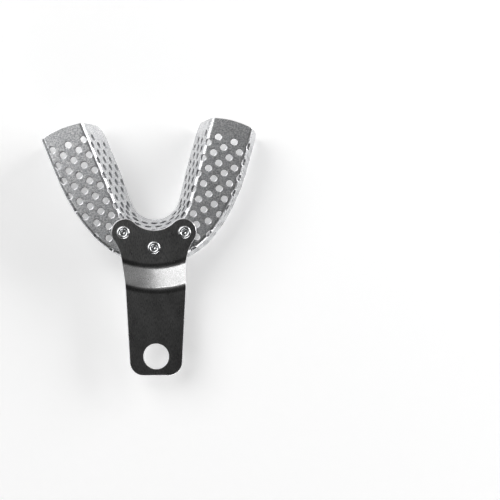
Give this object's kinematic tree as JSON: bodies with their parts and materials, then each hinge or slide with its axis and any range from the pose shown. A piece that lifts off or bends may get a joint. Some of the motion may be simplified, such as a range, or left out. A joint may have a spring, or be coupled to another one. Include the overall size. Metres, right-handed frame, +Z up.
{
  "type": "dental impression tray",
  "caption": "Perforated lower-jaw impression tray: an aluminium trough open downwards, with a stepped steel handle riveted across its front.",
  "frame": {"origin": "middle of the bounding box in plan, on the plane the flange rims stand on", "axes": "+Z up from the rims to the tray's floor, +Y towards the open ends of the two arms, -Y along the handle"},
  "size_m": [0.0774, 0.0923, 0.0197],
  "materials": {
    "tray_body": "satin",
    "handle": "brushed along its length",
    "rivet": "satin"
  },
  "bodies": {
    "root": {"tray_body": "tray_body", "handle": "handle", "rivet_left": "rivet", "rivet_right": "rivet", "rivet_front": "rivet"}
  },
  "joints": []
}
